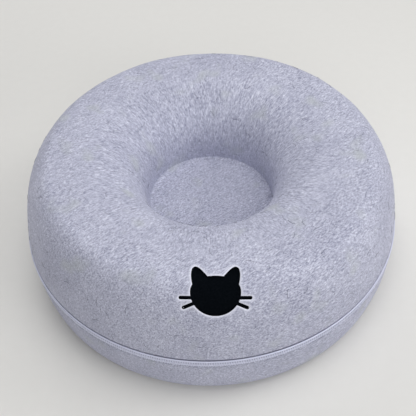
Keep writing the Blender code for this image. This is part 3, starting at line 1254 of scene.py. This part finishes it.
    def _soften_cuts(self, mesh: bpy.types.Mesh, uncut: BVHTree) -> None:
        """Press the felt's face down along the cat's outline and paint a pale halo there as a highlight.

        Args:
            mesh: The cover's mesh.
            uncut: The cover's faces before it was cut.
        """
        away = self.motif.distances(np.array([vertex.co for vertex in mesh.vertices]))
        pale = np.zeros(len(away), np.float32)
        for index in np.nonzero((away > self.cut_reach[0]) & (away < self.cut_reach[1]))[0]:
            vertex = mesh.vertices[int(index)]
            spot, normal, _, _ = uncut.find_nearest(vertex.co)
            if spot is None or (spot - vertex.co).length > SAME_PLACE or normal.z <= 0.0:
                continue
            gap = max(float(away[index]), 0.0)
            press = max(1.0 - gap / self.motif.pressed_width, 0.0) ** 2
            vertex.co -= normal * press * self.motif.pressed_depth
            # Painted highlight: how strongly the pale halo is painted here.
            pale[index] = math.exp(-(gap / self.motif.halo_width) ** 2)
        mesh.attributes.new("cut_edge", "FLOAT", "POINT").data.foreach_set("value", pale)

    def build_backing(self) -> Piece:
        """Build the black felt behind the cat's head, painted shade for the dark inside of the tunnel,
        following the under face of the cover.

        Returns:
            The black panel.
        """
        gap = self.section.thickness + self.backing_gap
        low, high = self.backing_from
        front = [p for p in offset_line(self.face, -gap) if p[0] > low and p[1] > high]
        rows = respaced(front, lambda r, z: self.backing_spacing)
        deep = np.array([p for p in offset_line(self.face, -gap - self.backing_thickness)
                         if p[0] > low - self.backing_spare and p[1] > high - self.backing_spare])
        deep_rows = [deep[int(np.argmin(((deep - row) ** 2).sum(axis=1)))] for row in rows]
        half = math.radians(self.backing_half_degrees)
        angles = np.linspace(FRONT - half, FRONT + half, self.backing_columns)
        points = [self.settle(Vector((radius * math.cos(angle), radius * math.sin(angle), height)))
                  for radius, height in rows + deep_rows for angle in angles]
        wide, tall = len(angles), len(rows)
        back = wide * tall
        faces = []
        for corner in (row * wide + column for row in range(tall - 1) for column in range(wide - 1)):
            quad = (corner, corner + 1, corner + wide + 1, corner + wide)
            faces += [quad, tuple(back + v for v in quad[::-1])]
        rim = list(range(wide)) + [row * wide + wide - 1 for row in range(1, tall)]
        rim += [(tall - 1) * wide + column for column in range(wide - 2, -1, -1)]
        rim += [row * wide for row in range(tall - 2, 0, -1)]
        faces += [(here, after, back + after, back + here) for here, after in zip(rim, rim[1:] + rim[:1])]
        # Painted shade: a near-black panel put behind the cut, where the inside of the tunnel lies in shade.
        mesh = closed_mesh("black_felt_panel", points, faces)
        return fitted(link_piece("black_felt_panel", mesh, self.black_felt), Slot.BLACK_FELT, "motif_backing")

    def build_tray(self) -> Piece:
        """Build the shallow tray.

        Returns:
            The tray.
        """
        rim_z, thickness = self.section.tray_rim_z, self.section.thickness
        face = self.section.tray_face()
        walls = []
        for line, coarse, fine in ((face, 0.010, 0.0028), (offset_line(face, -thickness), 0.012, 0.004)):
            kept = [p for p in line if p[1] < rim_z - self.tray_round]
            walls.append(respaced(kept, lambda r, z: coarse if r < self.tray_corner else fine))
        outer, inner = walls
        outer[0], inner[0] = (0.0, 0.0), (0.0, thickness)
        edge = self.section.side_radius(rim_z)
        rim = rounded_edge((edge, rim_z), (edge - thickness, rim_z), (0.0, 1.0), self.tray_round)
        angles = [FULL_TURN * column / self.columns for column in range(self.columns)]
        mesh = turned_mesh("felt_tray", outer + rim + inner[::-1], angles, self._settle_wall)
        return fitted(link_piece("felt_tray", mesh, self.felt), Slot.FELT, "tray")

    def _settle_wall(self, place: Vector) -> Vector:
        """Move a place on the tray's wall to where the felt has settled.

        Args:
            place: A place on the tray.

        Returns:
            The settled place.
        """
        radius = math.hypot(place.x, place.y)
        start, end = (self.section.tray_rim_z - drop for drop in self.wall_top)
        share = smooth_step(place.z, *self.wall_foot) * (1.0 - smooth_step(place.z, start, end))
        if radius < self.wall_radius or share <= 0.0:
            return place
        lift = sum(size * noise.noise(place / reach) for size, reach in self.wall_waves)
        return place + Vector((place.x, place.y, 0.0)) / radius * lift * share

    def declare(self, cover: Piece, panel: Piece, tray: Piece) -> None:
        """Args:
            cover: The cover; not used.
            panel: The black felt of painted shade; not used.
            tray: The tray; not used.
        """


@dataclass(frozen=True)
class FibreKind:
    """One kind of loose fibre: how many there are on a square metre, and their size in metres."""

    name: str
    colour: str
    density: float
    length: float
    thickness: float
    seed: int


@dataclass
class FaceFibres:
    """Loose fibres that lie on the cover's outer face: a few dark ones and many short pale ones."""

    cover: Piece
    core_radius: float = 0.200
    core_z: float = 0.100
    least_facing: float = 0.15
    sizes: tuple[float, float] = (0.55, 1.3)
    size_seed: int = 3
    kinds: tuple[FibreKind, ...] = (
        FibreKind("dark_fibres", "4C4E62", 800.0, 0.0110, 0.00016, 5),
        FibreKind("pale_fibres", "E4E6F2", 4200.0, 0.0060, 0.00010, 11),
    )

    def tree(self) -> Tree:
        """Build the geometry nodes that lay bent fibres on the outer face of a hollow ring.

        Returns:
            The tree.
        """
        tree, given = open_tree("fibres on a felt face", {
            "Cloth": "Object", "Density": "Float", "Length": "Float", "Thickness": "Float",
            "Seed": "Int", "Finish": "Material"})
        cloth = add_node(tree, "GeometryNodeObjectInfo", {"Object": given["Cloth"]}).outputs["Geometry"]
        spots = add_node(tree, "GeometryNodeDistributePointsOnFaces", {
            "Mesh": cloth, "Selection": self._outer_side(tree), "Density": given["Density"],
            "Seed": given["Seed"]})
        start, bend, end = (add_node(tree, VECTOR_MATH, {0: shares, 3: given["Length"]}, operation="SCALE")
                            for shares in ((-0.5, 0.0, 0.0), (0.1, 0.30, 0.05), (0.5, 0.0, 0.0)))
        spine = add_node(tree, "GeometryNodeCurveQuadraticBezier",
                         {"Resolution": 5, "Start": start, "Middle": bend, "End": end})
        section = add_node(tree, "GeometryNodeCurvePrimitiveCircle",
                           {"Resolution": 4, "Radius": given["Thickness"]})
        fibre = add_node(tree, "GeometryNodeCurveToMesh",
                         {"Curve": spine, "Profile Curve": section, "Fill Caps": True})
        index = add_node(tree, "GeometryNodeInputIndex")
        spin, size = (add_node(tree, RANDOM, {2: low, 3: high, "ID": index, "Seed": seed}, data_type="FLOAT")
                      for low, high, seed in ((0.0, FULL_TURN, given["Seed"]), (*self.sizes, self.size_seed)))
        turned = add_node(tree, "FunctionNodeRotateRotation",
                          {0: spots.outputs["Rotation"], 1: add_node(tree, JOIN_XYZ, {2: spin})},
                          rotation_space="LOCAL")
        laid = add_node(tree, "GeometryNodeInstanceOnPoints", {
            "Points": spots.outputs["Points"], "Instance": fibre, "Rotation": turned, "Scale": size})
        return close_tree(tree, laid, given["Finish"])

    def _outer_side(self, tree: Tree) -> Node:
        """Tell whether a face looks away from the core of the hollow ring.

        Args:
            tree: The geometry tree.

        Returns:
            The node that tells it.
        """
        place = add_node(tree, "GeometryNodeInputPosition")
        facing = add_node(tree, "GeometryNodeInputNormal")
        flat = add_node(tree, VECTOR_MATH, {0: place, 1: AT_FLOOR_LEVEL}, operation="MULTIPLY")
        way = add_node(tree, VECTOR_MATH, {0: flat}, operation="NORMALIZE")
        ring = add_node(tree, VECTOR_MATH, {0: way, 3: self.core_radius}, operation="SCALE")
        core = add_node(tree, VECTOR_MATH, {0: ring, 1: (0.0, 0.0, self.core_z)}, operation="ADD")
        away = add_node(tree, VECTOR_MATH, {0: place, 1: core}, operation="SUBTRACT")
        outward = add_node(tree, VECTOR_MATH, {0: away}, operation="NORMALIZE")
        share = add_node(tree, VECTOR_MATH, {0: outward, 1: facing}, operation="DOT_PRODUCT")
        return add_node(tree, "FunctionNodeCompare", {0: share.outputs["Value"], 1: self.least_facing},
                        operation="GREATER_THAN")

    def build(self) -> list[Piece]:
        """Lay each kind of fibre.

        Returns:
            The pieces.
        """
        tree = self.tree()
        return [fitted(grown_piece(kind.name, tree, {
            "Cloth": self.cover, "Density": kind.density, "Length": kind.length, "Thickness": kind.thickness,
            "Seed": kind.seed, "Finish": LooseFibre(kind.name.replace("_", " "), kind.colour).material()}),
            Slot.FELT, "cover") for kind in self.kinds]


# ---------------------------------------------------------------- the zip
@dataclass
class RingZip:
    """The closed zip round the ring: two woven tapes, two rows of teeth, a slider and its pull."""

    section: FeltSection
    tape_cloth: bpy.types.Material
    nylon: bpy.types.Material
    metal: bpy.types.Material
    columns: int = 240
    face_radius: float = 0.2991
    slider_radius: float = 0.3014
    tape: float = 0.0010
    tape_spacing: float = 0.0009
    tape_sharp_degrees: float = 60.0
    top_z: float = 0.1020
    bottom_z: float = 0.0580
    top_gap: float = 0.0006
    bow: float = 0.0010
    coil_z: float = 0.0805
    pitch: float = 0.00337
    tooth_width: float = 0.0022
    tooth_flatness: float = 0.55
    tooth_bulge: float = 0.0016
    tooth_lean: float = 0.02
    tooth_seed: int = 7
    row_reach: tuple[float, float] = (0.0052, 0.0042)
    overlap: tuple[float, float] = (0.0016, 0.0006)
    sunk: float = 0.0006
    gap: float = 0.0003
    highlight_band: tuple[float, float] = (0.0046, 0.0030)
    fold_out: float = 0.0002
    proud: float = 0.0001
    slider_turn: float = 132.0
    plate_depth: float = 0.0030
    bridge_half: float = 0.0013
    bridge_foot: float = 0.0002
    soft_edge: float = 0.0003
    soft_edge_degrees: float = 35.0
    metal_sharp_degrees: float = 50.0
    pull_ends: tuple[float, float] = (0.0010, -0.0300)
    pull_half: float = 0.0035
    pull_out: float = 0.0058
    pull_depth: float = 0.0012
    tape_length: float = 1.88
    tape_widths: tuple[float, float] = (0.0330, 0.0270)

    def _tape_lines(self) -> tuple[Line, Line]:
        """Draw the tapes' sections from their sewn edges to the teeth, in steps from what they pass.

        Returns:
            The upper tape's line and the lower one's.
        """
        cover_z, tray_z = self.section.cover_rim_z, self.section.tray_rim_z
        behind_top, behind_cover, behind_tray = (
            self.section.side_radius(height) - self.section.thickness - gap
            for height, gap in ((self.top_z, self.top_gap), (cover_z, self.gap), (tray_z, self.gap)))
        out = self.face_radius + self.bow
        upper = [(behind_top, self.top_z)]
        upper += placed((behind_cover, cover_z), [(0.0, 0.4), (0.0, -3.4), (0.6, -3.6), (1.8, -3.2)])
        upper += placed((self.face_radius, cover_z),
                        [(-0.8, -2.0), (-0.1, -1.5), (0.7, -1.6), (1.4, -2.2), (1.6, -3.1), (1.3, -4.2)])
        upper += placed((out, self.coil_z),
                        [(0.0, 4.0), (0.0, 1.2), (-0.4, 0.7), (-1.5, 0.3), (-1.8, -0.6), (-1.8, -2.4)])
        lower = [(behind_tray, self.bottom_z)]
        lower += placed((behind_tray, tray_z), [(0.0, -0.4), (1.0, 0.8)])
        lower += placed((self.face_radius, tray_z), [(-0.2, 0.9), (0.6, 1.1)])
        lower += placed((out, tray_z), [(0.0, 1.8), (0.2, 2.8), (0.0, 3.8)])
        return upper, lower + [(out, self.coil_z - self.gap)]

    def build_tapes(self) -> list[Piece]:
        """Build the tape behind the cover and the tape behind the tray.

        Returns:
            The two tapes, the upper one first.
        """
        upper, lower = self._tape_lines()
        tapes = []
        for name, line, inward, node in (("zip_tape_top", upper, self.tape, "zip_tape_upper"),
                                         ("zip_tape_bottom", lower, -self.tape, "zip_tape_lower")):
            fine = respaced(line, lambda r, z: self.tape_spacing)
            mesh = ring_mesh(name, fine + offset_line(fine, inward)[::-1], self.columns)
            tape = link_piece(name, mesh, self.tape_cloth)
            mesh.set_sharp_from_angle(angle=math.radians(self.tape_sharp_degrees))
            self._paint_fold_highlight(mesh)
            tapes.append(fitted(tape, Slot.TAPE, node))
        return tapes

    def _paint_fold_highlight(self, mesh: bpy.types.Mesh) -> None:
        """Mark the fold under the cover's edge, where a pale highlight is painted on the tape.

        Args:
            mesh: A tape's mesh.
        """
        # Painted highlight: a pale band on the lip just below the cover's edge.
        low, high = (self.section.cover_rim_z - drop for drop in self.highlight_band)
        outside = self.face_radius + self.fold_out
        shares = [smooth_step(v.co.z, low, high) if math.hypot(v.co.x, v.co.y) > outside else 0.0
                  for v in mesh.vertices]
        mesh.attributes.new("fold", "FLOAT", "POINT").data.foreach_set("value", shares)

    def tooth_tree(self) -> Tree:
        """Build the geometry nodes that set one row of a zip's teeth round a circle.

        Returns:
            The tree.
        """
        tree, given = open_tree("zip teeth round a ring", {
            "Teeth": "Int", "Radius": "Float", "Height": "Float", "Reach": "Float", "Head": "Float",
            "Bulge": "Float", "Width": "Float", "Flatness": "Float", "Phase": "Float", "Lean": "Float",
            "Seed": "Int", "Finish": "Material"})
        index = add_node(tree, "GeometryNodeInputIndex")
        shifted = add_node(tree, MATH, {0: index, 1: given["Phase"]}, operation="ADD")
        share = add_node(tree, MATH, {0: shifted, 1: given["Teeth"]}, operation="DIVIDE")
        angle = add_node(tree, MATH, {0: share, 1: FULL_TURN}, operation="MULTIPLY")
        east, north = (add_node(tree, MATH, {0: add_node(tree, MATH, {0: angle}, operation=wave),
                                             1: given["Radius"]}, operation="MULTIPLY")
                       for wave in ("COSINE", "SINE"))
        spot = add_node(tree, JOIN_XYZ, {0: east, 1: north, 2: given["Height"]})
        points = add_node(tree, "GeometryNodePoints", {"Count": given["Teeth"], "Position": spot})
        wobble = add_node(tree, RANDOM, {2: -1.0, 3: 1.0, "ID": index, "Seed": given["Seed"]},
                          data_type="FLOAT")
        lean = add_node(tree, MATH, {0: wobble, 1: given["Lean"]}, operation="MULTIPLY")
        half_way = add_node(tree, MATH, {0: given["Reach"], 1: 0.45}, operation="MULTIPLY")
        half_width = add_node(tree, MATH, {0: given["Width"], 1: 0.5}, operation="MULTIPLY")
        turn, foot, belly, head, flat = (add_node(tree, JOIN_XYZ, parts) for parts in (
            {0: lean, 2: angle}, {2: given["Reach"]}, {0: given["Bulge"], 2: half_way}, {2: given["Head"]},
            {0: given["Flatness"], 1: 1.0, 2: 1.0}))
        spine = add_node(tree, "GeometryNodeCurveQuadraticBezier",
                         {"Resolution": 5, "Start": foot, "Middle": belly, "End": head})
        ring = add_node(tree, "GeometryNodeCurvePrimitiveCircle", {"Resolution": 6, "Radius": half_width})
        tooth = add_node(tree, "GeometryNodeCurveToMesh",
                         {"Curve": spine, "Profile Curve": ring, "Fill Caps": True})
        row = add_node(tree, "GeometryNodeInstanceOnPoints",
                       {"Points": points, "Instance": tooth, "Rotation": turn, "Scale": flat})
        return close_tree(tree, row, given["Finish"])

    def build_rows(self) -> list[Piece]:
        """Build the two rows of teeth.

        Returns:
            The two rows, the upper one first.
        """
        tree = self.tooth_tree()
        teeth = round(FULL_TURN * self.face_radius / self.pitch)
        seat = self.face_radius + self.bow + self.proud
        rows = (("zip_teeth_top", self.row_reach[0], -self.overlap[0], 0.0, seat),
                ("zip_teeth_bottom", -self.row_reach[1], self.overlap[1], 0.5, seat - self.sunk))
        return [fitted(grown_piece(name, tree, {
            "Teeth": teeth, "Radius": radius, "Height": self.coil_z, "Reach": reach, "Head": head,
            "Bulge": self.tooth_bulge, "Width": self.tooth_width, "Flatness": self.tooth_flatness,
            "Phase": phase, "Lean": self.tooth_lean, "Seed": self.tooth_seed, "Finish": self.nylon}),
            Slot.COIL, "zip_coil") for name, reach, head, phase, radius in rows]

    def build_slider(self) -> list[Piece]:
        """Build the slider with its bridge, and the pull that hangs from it.

        Returns:
            The slider and the pull.
        """
        face = self.slider_radius
        lying = Matrix(((0, 0, 1), (1, 0, 0), (0, 1, 0))).to_4x4()
        half = placed((0.0, 0.0), [(-8.0, -3.0), (-6.4, -5.0), (1.0, -5.75), (6.6, -4.6), (8.0, -2.2)])
        plate = half + [(x, -y) for x, y in half[::-1]]
        body = prism("zip_slider_body", plate, face, face + self.plate_depth, lying, self.metal)
        outside, inside = (mirrored(placed((0.0, 0.0), steps)) for steps in (
            [(-5.6, 0.0), (-5.0, 1.8), (-3.0, 2.6)], [(4.2, 0.0), (3.6, 0.9), (2.0, 1.4)]))
        standing = Matrix(((0, 1, 0), (1, 0, 0), (0, 0, 1))).to_4x4()
        standing.translation.x = face + self.plate_depth - self.bridge_foot
        bridge = prism("zip_slider_bridge", outside + inside, -self.bridge_half, self.bridge_half,
                       standing, self.metal)
        combine(body, [bridge], "UNION")
        body.data.transform(Matrix.Translation((0.0, 0.0, self.coil_z)))
        pieces = [body, self._pull(lying)]
        for piece, node in zip(pieces, ("zip_slider", "zip_pull")):
            piece.data.transform(Matrix.Rotation(math.radians(self.slider_turn), 4, "Z"))
            bevel = piece.modifiers.new("soft edges", "BEVEL")
            bevel.width, bevel.segments = self.soft_edge, 2
            bevel.limit_method, bevel.angle_limit = "ANGLE", math.radians(self.soft_edge_degrees)
            bake_modifiers(piece)
            piece.data.shade_smooth()
            piece.data.set_sharp_from_angle(angle=math.radians(self.metal_sharp_degrees))
            fitted(piece, Slot.METAL, node)
        return pieces

    def _pull(self, lying: Matrix) -> Piece:
        """Build the pull: a flat tab with a round end and two slots, hung on the bridge.

        Args:
            lying: The place of a plate against the zip.

        Returns:
            The pull.
        """
        top, bottom = (self.coil_z + end for end in self.pull_ends)
        face = self.slider_radius + self.pull_out
        outline = arc((0.0, bottom + self.pull_half), self.pull_half, 180.0, 360.0, 16)
        outline += mirrored(placed((0.0, top), [(3.0, -8.0), (2.4, -1.5), (1.2, 0.0)]))
        pull = prism("zip_pull_tab", outline, face, face + self.pull_depth, lying, self.metal)
        slots = [arc((0.0, high), radius, 0.0, 180.0, 10) + arc((0.0, low), radius, 180.0, 360.0, 10)
                 for high, low, radius in ((top - 0.0034, top - 0.0062, 0.0013),
                                           (bottom + 0.0085, bottom + 0.0045, 0.0012))]
        tools = [prism(f"pull_hole_{index}", slot, face - 0.001, face + 0.003, lying)
                 for index, slot in enumerate(slots)]
        return combine(pull, tools, "DIFFERENCE")

    def declare(self, tapes: Sequence[Piece], cover: Piece, tray: Piece) -> None:
        """Args:
            tapes: The upper tape and the lower one.
            cover: The cover.
            tray: The tray.
        """
        for tape, shell, width in zip(tapes, (cover, tray), self.tape_widths):
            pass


# ---------------------------------------------------------------- the studio
@dataclass(frozen=True)
class Lamp:
    """A square soft lamp: its turn and rise in degrees, its side in metres and its power in watts."""

    name: str
    turn: float
    rise: float
    size: float
    watts: float


@dataclass
class Studio:
    """Pale seamless paper, soft lamps and the camera; the camera's angles are in radians."""

    paper: bpy.types.Material
    floor_half: float = 6.0
    camera_back: float = 0.7644
    camera_up: float = 0.9168
    look_down: float = 0.836
    look_aside: float = -0.006
    lean: float = -0.051
    lens_mm: float = 58.58
    sensor_mm: float = 36.0
    aim: tuple[float, float, float] = (0.0, 0.0, 0.1)
    lamp_distance: float = 3.0
    room_glow: float = 0.236
    lamps: tuple[Lamp, ...] = (
        Lamp("overhead_lamp", 0.0, 89.0, 1.6, 30.5),
        Lamp("front_lamp", 270.0, 40.0, 1.2, 13.5),
        Lamp("right_window", 10.0, 40.0, 1.2, 16.0),
        Lamp("back_low_lamp", 120.0, 20.0, 1.2, 12.7),
        Lamp("back_window", 100.0, 40.0, 1.2, 8.9),
        Lamp("right_high_lamp", 0.0, 65.0, 1.2, 8.6),
        Lamp("front_right_low_lamp", 320.0, 20.0, 1.2, 15.0),
        Lamp("front_low_lamp", 270.0, 20.0, 1.2, 5.2),
    )

    def build_floor(self) -> None:
        """Lay the paper."""
        mesh = bpy.data.meshes.new("paper_floor")
        half = self.floor_half
        corners = [(-half, -half, 0.0), (half, -half, 0.0), (half, half, 0.0), (-half, half, 0.0)]
        mesh.from_pydata(corners, [], [(0, 1, 2, 3)])
        floor = link_piece("paper_floor", mesh, self.paper)

    def build_lights(self) -> None:
        """Hang the soft lamps round the tunnel and set the room's glow."""
        for lamp in self.lamps:
            turn, rise = math.radians(lamp.turn), math.radians(lamp.rise)
            way = Vector((math.cos(turn) * math.cos(rise), math.sin(turn) * math.cos(rise), math.sin(rise)))
            place = way * self.lamp_distance
            light = bpy.data.lights.new(lamp.name, "AREA")
            light.shape, light.size, light.energy = "SQUARE", lamp.size, lamp.watts
            hung = bpy.data.objects.new(lamp.name, light)
            bpy.context.scene.collection.objects.link(hung)
            facing = (Vector(self.aim) - place).to_track_quat("-Z", "Y")
            hung.matrix_world = Matrix.Translation(place) @ facing.to_matrix().to_4x4()
        world = bpy.data.worlds.new("room glow")
        bpy.context.scene.world = world
        world.use_nodes = True
        glow = world.node_tree.nodes["Background"]
        glow.inputs["Color"].default_value = linear("FFFFFF")
        glow.inputs["Strength"].default_value = self.room_glow

    def build_camera(self) -> None:
        """Set the camera in front of the tunnel, looking down at it."""
        lens = bpy.data.cameras.new("camera")
        lens.sensor_width, lens.lens = self.sensor_mm, self.lens_mm
        lens.dof.use_dof = False
        camera = bpy.data.objects.new("camera", lens)
        bpy.context.scene.collection.objects.link(camera)
        flat, drop = math.cos(self.look_down), math.sin(self.look_down)
        ahead = Vector((math.sin(self.look_aside) * flat, math.cos(self.look_aside) * flat, -drop))
        right = Vector((math.cos(self.look_aside), -math.sin(self.look_aside), 0.0))
        up = right.cross(ahead)
        leant_right = right * math.cos(self.lean) + up * math.sin(self.lean)
        leant_up = up * math.cos(self.lean) - right * math.sin(self.lean)
        place = Matrix((leant_right, leant_up, -ahead)).transposed().to_4x4()
        place.translation = Vector((0.0, -self.camera_back, self.camera_up))
        camera.matrix_world = place
        bpy.context.scene.camera = camera


def main() -> None:
    """Build every piece of the tunnel and its studio."""
    logging.basicConfig(level=logging.INFO, format="%(name)s: %(message)s")
    section = FeltSection()
    shells = FeltShells(section, Settling(section), CatMotif(), Doorway(), MouldedFelt().material(),
                        PaintedShadeFelt().material(), ShadedCutWall().material())
    cover = shells.build_cover()
    panel = shells.build_backing()
    fibres = FaceFibres(cover).build()
    tray = shells.build_tray()
    ring_zip = RingZip(section, WovenTape().material(), NylonCoil().material(), PaintedZinc().material())
    tapes = ring_zip.build_tapes()
    rows = ring_zip.build_rows()
    slider = ring_zip.build_slider()
    for piece in (cover, panel, *fibres, tray, *tapes, *rows, *slider):
        LOG.info("%s: %d faces", piece.name, len(piece.data.polygons))
    shells.declare(cover, panel, tray)
    ring_zip.declare(tapes, cover, tray)
    studio = Studio(StudioPaper().material())
    studio.build_floor()
    studio.build_lights()
    studio.build_camera()
    bpy.context.scene.view_settings.view_transform = "Standard"


if __name__ == "__main__":
    main()
